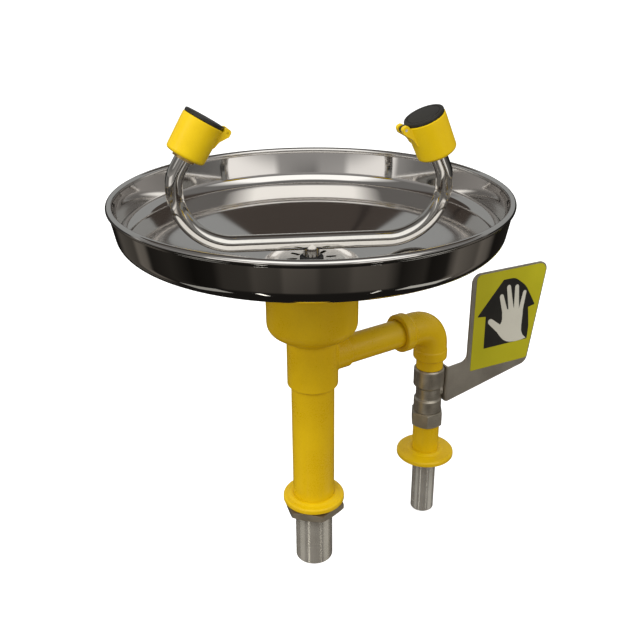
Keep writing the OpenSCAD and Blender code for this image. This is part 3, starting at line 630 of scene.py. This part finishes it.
NUT_LOW, NUT_HIGH = span("deck_lock_nut")
show(hex_piece(46, NUT_LOW.z, NUT_HIGH.z, TAIL_R + FIT, 1.4, Matrix(), math.radians(13)),
     "lock_nut", "stand", NUT, ["deck_lock_nut"], weighted=True)

# ---------------------------------------------------------------- yoke and riser
path, length = travel(at_head(-1) @ shift(0, 0, TUBE_IN_HEAD) @ turn(math.pi, "X"), [
    ("line", TUBE_IN_HEAD + HEAD_GAP),
    ("arc", UPPER_BEND_R, HEAD_LEAN[-1], (math.cos(LEAN_TURN), math.sin(LEAN_TURN), 0)),
    ("line", ARM_STRAIGHT),
    ("arc", LOWER_BEND_R, math.pi / 2, (math.cos(YOKE_TURN), math.sin(YOKE_TURN), 0)),
    ("line", 2 * (ARM_S - LOWER_BEND_R)),
    ("arc", LOWER_BEND_R, math.pi / 2, (0, 0, 1)),
    ("line", ARM_STRAIGHT),
    ("arc", UPPER_BEND_R, HEAD_LEAN[1], (-math.cos(LEAN_TURN), -math.sin(LEAN_TURN), 0)),
    ("line", TUBE_IN_HEAD + HEAD_GAP)])
show(solid(spin(outline([(TUBE_R, 0, 0.3), (TUBE_R, length, 0.3), (TUBE_IN_R, length, 0.3), (TUBE_IN_R, 0, 0.3)]),
                56, along=path, most=1.6)),
     "yoke_pipe", "stand", CHROME, ["yoke_tube"])
RISER_LOW = span("riser")[0].z
show(solid(spin(outline([(TUBE_R, RISER_LOW, 0.2), (TUBE_R, BAR_Z - 0.6), (TUBE_IN_R, BAR_Z - 0.6),
                         (TUBE_IN_R, RISER_LOW, 0.2)]), 64)),
     "riser_pipe", "stand", CHROME, ["riser"])
SEAL_LOW = span("riser_seal")[0].z
SEAL_TOP, SEAL_R = SEAL_LOW + 1.6, TUBE_R + 2.6
show(solid(spin(outline([(TUBE_R + FIT, SEAL_LOW, 0.3), (SEAL_R, SEAL_LOW, 0.4), (SEAL_R, SEAL_TOP, 0.7),
                         (TUBE_R + FIT, SEAL_TOP, 0.3)]), 64)),
     "riser_grommet", "stand", RUBBER, ["riser_seal"])


# ---------------------------------------------------------------- spray heads and covers
def head_shell(side):
    """Head body with its chambers and the two lugs of its hinge."""
    place = at_head(side)
    body = solid(spin(outline([
        (HEAD_PORT_R, 0, 0.4), (HEAD_BASE_R, 0, 2.6), (HEAD_R, HEAD_H - 4, 8), (HEAD_R, HEAD_H, 0.8),
        (FACE_R, HEAD_H, 0.4), (FACE_R, HEAD_H - FACE_RECESS), (FILTER_R, HEAD_H - FACE_RECESS),
        (FILTER_R, CHAMBER_MID), (CHAMBER_R, CHAMBER_MID), (CHAMBER_R, CHAMBER_LOW), (HEAD_PORT_R, CHAMBER_LOW, 0.3)]), 128), place)
    lug = outline([(HEAD_R - 2.2, HEAD_H - 15), (HEAD_R - 0.55, HEAD_H - 13, 3), (HEAD_R + 0.5, HEAD_H - 8.0, 6),
                   (HINGE_X + LUG_R, HINGE_Z - 2.2, 2.4), (HINGE_X + LUG_R, HINGE_Z + LUG_R, LUG_R - 0.05),
                   (HINGE_X - LUG_R, HINGE_Z + LUG_R, LUG_R - 0.05), (HINGE_X - LUG_R - 0.4, HEAD_H - 0.4, 1.2),
                   (HEAD_R - 2.2, HEAD_H - 1)])
    for y in (-1, 1):
        middle = y * (KNUCKLE_W / 2 + 0.3 + LUG_W / 2)
        ear = solid(prism(lug, -LUG_W / 2, LUG_W / 2), place @ shift(0, middle) @ turn(math.pi / 2, "X"))
        combine(body, soften(ear, 0.45, 3, 50), "UNION")
    return body


def disc_with_holes(side):
    """Spray plate in the face of a head."""
    low = HEAD_H - FACE_RECESS + 0.02
    place = at_head(side)
    top = low + PLATE_T
    shape = outline([(0, low), (FACE_R - FIT, low, 0.2), (FACE_R - FIT, top, 0.4), (10, top), (0, top + 0.2)],
                    closed=False)
    plate = solid(spin(shape, 96, closed=False), place)
    holes = [(0, 0)] + [(RING_OUT_R, 2 * math.pi * k / RING_OUT_COUNT) for k in range(RING_OUT_COUNT)]
    holes += [(RING_IN_R, 2 * math.pi * (k + 0.5) / RING_IN_COUNT) for k in range(RING_IN_COUNT)]
    for far, angle in holes:
        drill = plug(HOLE_SIZE, low - 2, low + 6, place @ shift(far * math.cos(angle), far * math.sin(angle)), 24)
        combine(plate, drill, "DIFFERENCE")
    return soften(plate, 0.12, 2, 40)


def flip_cover(side):
    """Cover disc with a thin groove, an inner ring and the knuckle of its hinge."""
    place = at_head(side)
    top, (ring_in, ring_out, ring_deep) = COVER_Z + COVER_T, INNER_RING
    disc = solid(spin(outline([
        (0, COVER_Z), (ring_in, COVER_Z), (ring_in, COVER_Z - ring_deep, 0.3), (ring_out, COVER_Z - ring_deep, 0.3),
        (ring_out, COVER_Z), (COVER_R, COVER_Z, 0.5), (COVER_R, top, 0.9), (COVER_R - 2.3, top, 0.15),
        (COVER_R - 2.5, top - GROOVE_DEEP, 0.15), (COVER_R - 2.9, top - GROOVE_DEEP, 0.15), (COVER_R - 3.1, top, 0.2),
        (6, top + 0.15), (0, top + 0.2)], closed=False), 128, closed=False), place)
    knuckle_x = HINGE_X + KNUCKLE_R
    web = outline([(COVER_R - 3, COVER_Z + 0.1), (HINGE_X - 0.5, COVER_Z - 1.3, 0.8), (knuckle_x, COVER_Z - 1.4, 2),
                   (knuckle_x, HINGE_Z + KNUCKLE_R, 2), (COVER_R - 3, HINGE_Z + KNUCKLE_R - 0.2)])
    tongue = solid(prism(web, -KNUCKLE_W / 2, KNUCKLE_W / 2), place @ turn(math.pi / 2, "X"))
    combine(disc, soften(tongue, 0.3, 2, 50), "UNION")
    along_pin = place @ shift(HINGE_X, 0, HINGE_Z) @ turn(math.pi / 2, "X")
    return combine(disc, plug(PIN_R + 0.06, -8, 8, along_pin, 32), "DIFFERENCE")


for side, word in ((-1, "left"), (1, "right")):
    show(head_shell(side), word + "_head_shell", "stand", PLASTIC, [word + "_head_body"],
         weighted=True)
    show(disc_with_holes(side), word + "_spray_disc", "stand", PLASTIC, [word + "_spray_plate"],
         weighted=True)
    show(flip_cover(side), word + "_flip_cover", word + "_flap", BLACK, [word + "_cover"],
         weighted=True)

# ---------------------------------------------------------------- branch, elbow and nipples
show(solid(spin(outline([(BRANCH_R, BRANCH_LOW.x, 0.3), (BRANCH_R, BRANCH_HIGH.x, 0.3),
                         (SUPPLY_BORE_R, BRANCH_HIGH.x, 0.3), (SUPPLY_BORE_R, BRANCH_LOW.x, 0.3)]), 96),
           shift(0, 0, BRANCH_Z) @ ALONG_X),
     "branch_run", "stand", YELLOW, ["branch_pipe"])

REACH = SUPPLY_X - ELBOW_BEND - ELBOW_FACE_X
DROP = BRANCH_Z - ELBOW_BEND - ELBOW_Z
path, length = travel(shift(ELBOW_FACE_X, 0, BRANCH_Z) @ ALONG_X, [
    ("line", REACH), ("arc", ELBOW_BEND, math.pi / 2, (0, 0, -1)), ("line", DROP)])
show(solid(spin(outline([
    (ELBOW_R + 2.1, 0, 1.4), (ELBOW_R + 2.1, 8.2, 1.2), (ELBOW_R, 10.6, 3), (ELBOW_R, length - 9.4, 1.2),
    (ELBOW_R + 0.6, length - 8.2, 0.8), (ELBOW_R + 0.6, length, 1.4), (THREAD_R + 1.5, length, 0.3),
    (THREAD_R + 0.1, length - 1.4), (THREAD_R + 0.1, length - SOCKET_L), (SUPPLY_BORE_R, length - SOCKET_L),
    (SUPPLY_BORE_R, SOCKET_L), (BRANCH_R + FIT, SOCKET_L), (BRANCH_R + FIT, 0.8), (BRANCH_R + 0.9, 0, 0.3)]),
    96, along=path, most=1.5)),
    "elbow_casting", "stand", YELLOW, ["supply_elbow"], sharp=40)

show(solid(spin(outline([
    (BRANCH_R, VALVE_Z1 + 0.1, 0.4), (BRANCH_R, ELBOW_Z - 0.1, 0.4), (THREAD_R, ELBOW_Z - 0.1),
    (THREAD_R, ELBOW_Z + THREAD_L, 0.5), (SUPPLY_BORE_R, ELBOW_Z + THREAD_L, 0.3),
    (SUPPLY_BORE_R, VALVE_Z1 - THREAD_L, 0.3), (THREAD_R, VALVE_Z1 - THREAD_L, 0.5), (THREAD_R, VALVE_Z1 + 0.1)]),
    96), AT_SUPPLY),
    "upper_nipple_pipe", "stand", YELLOW, ["upper_nipple"])
show(solid(spin(outline([
    (BRANCH_R, PIPE_LOW, 0.2), (BRANCH_R, VALVE_Z0 - 0.1, 0.5), (SHANK_UP_R + FIT, VALVE_Z0 - 0.1, 0.3),
    (SHANK_UP_R + FIT, PIPE_LOW, 0.2)]),
    96), AT_SUPPLY),
    "lower_nipple_pipe", "stand", YELLOW, ["lower_nipple"])
show(solid(spin(outline([
    (SUPPLY_R, SHANK_LOW.z, 0.8), (SUPPLY_R, -0.5), (SHANK_UP_R, -0.5), (SHANK_UP_R, SHANK_HIGH.z, 0.5),
    (SUPPLY_BORE_R, SHANK_HIGH.z, 0.3), (SUPPLY_BORE_R, SHANK_LOW.z, 0.6)]), 96), AT_SUPPLY),
    "supply_tail", "stand", SHANK, ["supply_shank"])

# ---------------------------------------------------------------- valve
body = solid(spin(outline([
    (4.6, VALVE_LOW_Z + 0.1), (12.4, VALVE_LOW_Z + 0.1, 0.5), (12.4, VALVE_MID_Z - 1.2, 0.3),
    (11.5, VALVE_MID_Z - 0.1, 0.3),
    (10.9, VALVE_MID_Z + 0.4, 0.5), (10.9, VALVE_COLLAR_Z - 1.6, 1.2), (12.9, VALVE_COLLAR_Z, 0.6),
    (13.5, VALVE_COLLAR_Z + 0.8, 0.5), (13.5, VALVE_Z1 - 1.2, 0.4), (12.5, VALVE_Z1, 0.3),
    (THREAD_R + 0.7, VALVE_Z1, 0.3), (THREAD_R + 0.1, VALVE_Z1 - 0.6), (THREAD_R + 0.1, VALVE_Z1 - THREAD_L),
    (4.6, VALVE_Z1 - THREAD_L)]), 96), AT_VALVE)
boss = solid(spin(outline([(0, 2), (7.4, 2), (7.4, 11.4, 0.5), (5.45, 11.4, 0.2), (5.45, 9.8), (3.66, 9.8),
                           (3.66, 4), (0, 4)], closed=False), 64, closed=False),
             AT_VALVE @ shift(0, 0, STEM_Z) @ ALONG_X)
show(combine(body, boss, "UNION"), "valve_casting", "stand", VALVE, ["valve_body"])
show(hex_piece(26.3, VALVE_Z0, VALVE_LOW_Z, SHANK_UP_R + FIT, 1.3, AT_VALVE), "valve_cap", "stand",
     VALVE, ["valve_end_cap"], weighted=True)


# ---------------------------------------------------------------- push flag and its sticker
def flag():
    """Sheet-metal flag: a leg across the valve stem, a bend, a neck and a broad plate with rounded corners."""
    bend_r = FLAG_T + 0.6
    neck_x = LEG_X + bend_r
    face = outline([
        (neck_x, LEG_FOOT_Z), (FLAG_FOOT_X, FLAG_FOOT_Z, 8), (FLAG_RIGHT, FLAG_TOP, 8), (FLAG_LEFT, FLAG_TOP, 8),
        (FLAG_LEFT, LEG_TOP_Z + 2, 7), (neck_x, LEG_TOP_Z)], step=8)
    upright = turn(math.pi / 2, "X")
    plate = solid(prism(face, -FLAG_Y - FLAG_T, -FLAG_Y), AT_VALVE @ upright)
    fold = [(LEG_X + bend_r + 0.4, FLAG_Y), (LEG_X + bend_r + 0.4, FLAG_Y + FLAG_T)]
    turns = [math.radians(270 - 90 * k / 10) for k in range(11)]
    centre = (LEG_X + bend_r, FLAG_Y + bend_r)
    inner = [(centre[0] + (bend_r - FLAG_T) * math.cos(a), centre[1] + (bend_r - FLAG_T) * math.sin(a))
             for a in turns]
    outer = [(centre[0] + bend_r * math.cos(a), centre[1] + bend_r * math.sin(a)) for a in turns]
    leg = inner + [(LEG_X + FLAG_T, LEG_BACK_Y), (LEG_X, LEG_BACK_Y)] + outer[::-1] + [fold[0], fold[1]]
    folded = solid(prism(leg, LEG_FOOT_Z, LEG_TOP_Z), AT_VALVE)
    combine(plate, folded, "UNION")
    hole = solid(prism([(-2.55, -3.05), (2.55, -3.05), (2.55, 3.05), (-2.55, 3.05)], -9, 9),
                 AT_VALVE @ shift(LEG_X, 0, STEM_Z) @ ALONG_X)
    combine(plate, hole, "DIFFERENCE")
    return soften(plate, 0.28, 3, 40)


show(flag(), "push_flag", "flag", PLATE, ["flag_plate"], weighted=True)


def hand():
    """Outline of a plain raised hand, thumb to the left, in millimetres from the foot of its palm."""
    fingers = [  # foot, width, length and lean of the thumb and each finger
        ((-14.2, 17.6), 6.4, 14.4, 49), ((-8.0, 33.0), 5.2, 17.6, 18), ((-1.1, 34.2), 5.2, 23.8, 12),
        ((5.1, 33.6), 5.2, 22.8, 4.5), ((10.4, 31.0), 4.6, 18.4, -8.5)]
    points = [(1.0, 0.2), (-3.0, 1.6), (-6.6, 3.8), (-9.8, 7.0), (-12.4, 10.2), (-14.6, 13.2)]
    for foot, width, reach, lean in fingers:
        way = Vector((-math.sin(math.radians(lean)), math.cos(math.radians(lean))))
        side = Vector((way.y, -way.x)) * (width / 2)
        base = Vector(foot)
        tip = base + way * (reach - width / 2)
        points.append(tuple(base - side * 1.08))
        points += [tuple(tip - side * math.cos(a) * 0.84 + way * (width / 2) * math.sin(a))
                   for a in (math.pi * k / 10 for k in range(11))]
        points.append(tuple(base + side * 1.08))
        if len(points) < 22:
            points += [(-11.4, 20.6), (-10.4, 22.4), (-10.0, 25.0)]
    return points + [(13.0, 24.0), (12.8, 15.0), (13.2, 9.0), (15.4, 4.4), (19.4, 0.4), (14.0, -0.4), (8.0, -0.6)]


def printed(points, depth, thick, dx=0.0, dz=0.0):
    """A thin printed layer on the face of the flag, its back depth in front of the plate."""
    flat = [(x + dx, z + dz) for x, z in points]
    return soften(solid(prism(flat, -FLAG_Y + depth, -FLAG_Y + depth + thick), AT_VALVE @ turn(math.pi / 2, "X")),
                  0.04, 1, 50)


show(printed(outline([(39, 79.6, 1), (102.5, 79.6, 3), (115.8, 172.2, 7.2), (39, 172.2, 5)], step=6), 0.01, 0.25),
     "flag_sticker", "flag", STICKER, ["flag_decal"])
arrow = outline([(52.0, 99.4, 0.6), (100.8, 99.4, 0.8), (101.4, 112.0, 20), (98.6, 131.6, 0.8), (106.0, 133.0, 0.8),
                 (93.5, 154.0, 26), (80.5, 163.4, 12), (68.0, 163.4, 1.2), (42.0, 132.2, 0.8), (51.4, 131.2, 0.8)],
                step=6)
show(printed(arrow, 0.26, 0.06), "sticker_arrow", "flag", INK)
show(printed(hand(), 0.32, 0.05, 80.0, 100.0), "sticker_hand", "flag", PALE)

# ---------------------------------------------------------------- small CAD nodes that stay, with their finish
KEPT = {
    "bowl_gasket": RUBBER, "inlet_elbow": BRASS, "left_head_adapter": BRASS, "right_head_adapter": BRASS,
    "left_head_seal": RUBBER, "right_head_seal": RUBBER, "left_flow_control": WHITE, "right_flow_control": WHITE,
    "left_filter_disc": STEEL, "right_filter_disc": STEEL, "left_hinge_pin": STEEL, "right_hinge_pin": STEEL,
    "valve_seats": WHITE, "valve_ball": CHROME, "valve_stem": STEEL, "stem_packing": WHITE, "packing_nut": NUT,
    "stem_washer": STEEL, "stem_nut": STEEL}
for node, finish in KEPT.items():
    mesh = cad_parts[node].data
    mesh.materials.clear()
    mesh.materials.append(finish)

# ---------------------------------------------------------------- floor, light and camera
PHOTO_TURN = math.radians(32.70)
FLOOR_Z = -60.6
floor = solid(prism([(-9000, -9000), (9000, -9000), (9000, 9000), (-9000, 9000)], FLOOR_Z - 20, FLOOR_Z))
floor.name = "studio_floor_slab"
floor.data.materials.append(FLOOR)
floor.visible_glossy = False
floor.visible_diffuse = False
floor.visible_shadow = False


def photo_way(x, y, z):
    """A direction given right, back and up in the camera's own frame, in the row frame."""
    return turn(-PHOTO_TURN) @ Vector((x, y, z))


def softbox(name, way, far, size, power, colour, aim=(0, 0, 0.15)):
    """An area light aimed at the object. It lights the dull surfaces and is hidden from the mirroring ones."""
    data = bpy.data.lights.new(name, "AREA")
    data.shape, data.size, data.size_y = "RECTANGLE", size[0], size[1]
    data.energy, data.color = power, colour
    lamp = bpy.data.objects.new(name, data)
    lamp.location = photo_way(*way).normalized() * far + Vector(aim)
    lamp.rotation_mode = "QUATERNION"
    lamp.rotation_quaternion = (lamp.location - Vector(aim)).to_track_quat("Z", "Y")
    lamp.visible_camera = lamp.visible_glossy = False
    bpy.context.scene.collection.objects.link(lamp)
    return lamp


softbox("front_softbox", (-0.20, -0.62, 0.78), 1.7, (0.8, 0.5), 15, (1.0, 0.99, 0.96))
softbox("left_softbox", (-0.9, -0.45, 0.5), 1.9, (0.7, 1.0), 9, (1.0, 1.0, 0.97))
softbox("right_softbox", (0.95, -0.3, 0.5), 2.0, (0.6, 0.9), 6, (1.0, 0.97, 0.93))

TAILS = (SUPPLY_X * MM / 2, 0, -0.03)
for name, around, size, power in (("left_card", -78, (0.50, 0.24), 0.11), ("left_strip", -35, (0.055, 0.24), 0.075),
                                  ("right_strip", 38, (0.025, 0.24), 0.030), ("right_card", 78, (0.62, 0.24), 0.19)):
    around = math.radians(around)
    card = softbox(name, (math.sin(around), -math.cos(around), -0.79), 1.02, size, power, (1.0, 0.98, 0.90), TAILS)
    card.visible_diffuse, card.visible_glossy = False, True


def ramp(where, stops, tint=(1.0, 0.97, 0.93)):
    """Greys round the room, from (degrees to the right of the camera's own direction, brightness)."""
    node = n.add("ShaderNodeValToRGB", {0: where}, out=None)
    cells = node.color_ramp.elements
    for angle, grey in stops[1:-1]:
        cells.new(angle / 360 + 0.5)
    for cell, (angle, grey) in zip(cells, stops):
        cell.position = angle / 360 + 0.5
        cell.color = rgb(*(grey * share for share in tint))
    return node.outputs[0]


world = bpy.data.worlds.new("studio")
bpy.context.scene.world = world
world.use_nodes = True
n = Nodes(world.node_tree)
rays = n.add("ShaderNodeLightPath", out=None).outputs
way = n.add("ShaderNodeVectorRotate", {"Vector": n.add("ShaderNodeTexCoord", out="Generated"), "Angle": PHOTO_TURN},
            rotation_type="Z_AXIS")
right, back, up = n.add("ShaderNodeSeparateXYZ", {0: way}, out=None).outputs
azimuth = n.math("ARCTAN2", right, n.math("MULTIPLY", back, -1.0))
round_room = n.math("ADD", n.math("DIVIDE", azimuth, 2 * math.pi), 0.5)
level_band = ramp(round_room, [
    (-180, 0.30), (-166, 0.03), (-110, 0.04), (-103, 0.40), (-98, 0.12), (-70, 0.17), (-57, 0.28), (-54, 0.95),
    (-25, 0.90), (-21, 0.40), (-7, 0.36), (-2, 0.15), (7, 0.20), (20, 0.34), (24, 0.95), (55, 1.0), (59, 0.16),
    (85, 0.09), (100, 0.025), (104, 0.13), (108, 0.012), (166, 0.015), (180, 0.30)])
ground = ramp(round_room, [
    (-180, 0.02), (-150, 0.008), (-140, 0.07), (-124, 0.05), (-120, 0.13), (-113, 0.11), (-109, 0.012), (-92, 0.020),
    (-76, 0.006), (-62, 0.010), (-56, 0.030), (-40, 0.034), (-36, 0.058), (-20, 0.050), (-17, 0.085), (2, 0.070),
    (6, 0.040), (22, 0.052), (26, 0.075), (46, 0.060), (56, 0.010), (72, 0.022), (76, 0.008), (88, 0.012), (96, 0.11),
    (112, 0.07), (116, 0.12), (124, 0.09), (131, 0.008), (180, 0.02)], (1.0, 0.89, 0.76))
ground = n.mix(n.span(up, -0.64, -0.76), ground, rgb(0.010, 0.009, 0.008))
behind = n.span(back, 0.15, 0.40)
front_wall = n.mix(n.span(up, 0.14, 0.42), rgb(0.30, 0.29, 0.28), rgb(0.16, 0.155, 0.15))
window = ramp(round_room, [(-180, 0.0), (-64, 0.0), (-40, 1.0), (52, 1.0), (78, 0.0), (180, 0.0)], (1.0, 1.0, 1.0))
window = n.math("MULTIPLY", window, n.math("MULTIPLY", n.span(up, 0.34, 0.44), n.span(up, 0.97, 0.90)))
front_wall = n.mix(window, front_wall, rgb(1.25, 1.24, 1.20))
line = n.math("MULTIPLY", n.span(n.math("ABSOLUTE", n.math("SUBTRACT", up, 0.641)), 0.008, 0.003),
              n.span(right, 0.0, -0.02))
panel = n.mix(line, rgb(0.062, 0.051, 0.044), rgb(0.034, 0.028, 0.025))
back_wall = n.mix(n.span(up, 0.570, 0.588), rgb(0.30, 0.305, 0.30), panel)
upper = n.mix(behind, front_wall, back_wall)
glossy = n.mix(n.span(up, 0.105, 0.14), level_band, upper)
glossy = n.mix(n.span(up, -0.22, -0.30), glossy, ground)
soft = n.mix(n.span(up, -0.35, 0.35), rgb(0.34, 0.27, 0.20), rgb(0.74, 0.74, 0.74))
seen = n.mix(rays["Is Diffuse Ray"], glossy, soft)
seen = n.mix(rays["Is Camera Ray"], seen, rgb(1.0, 1.0, 1.0))
n.add("ShaderNodeOutputWorld", {"Surface": n.add("ShaderNodeBackground", {"Color": seen, "Strength": 1.0})}, out=None)

YAW, PITCH, ROLL = math.radians(0.5435), math.radians(24.396), math.radians(-0.2817)
ahead = photo_way(math.sin(YAW) * math.cos(PITCH), math.cos(YAW) * math.cos(PITCH), -math.sin(PITCH))
level = photo_way(math.cos(YAW), -math.sin(YAW), 0)
lift = level.cross(ahead)
across = level * math.cos(ROLL) + lift * math.sin(ROLL)
upward = lift * math.cos(ROLL) - level * math.sin(ROLL)
lens = bpy.data.cameras.new("photo_camera")
lens.lens, lens.sensor_width = 46.33, 36.0
camera = bpy.data.objects.new("photo_camera", lens)
camera.matrix_world = Matrix((across, upward, -ahead)).transposed().to_4x4()
camera.location = photo_way(0.515 * MM, -582.724 * MM, 430.726 * MM)
bpy.context.scene.collection.objects.link(camera)
bpy.context.scene.camera = camera
bpy.context.scene.view_settings.view_transform = "Standard"
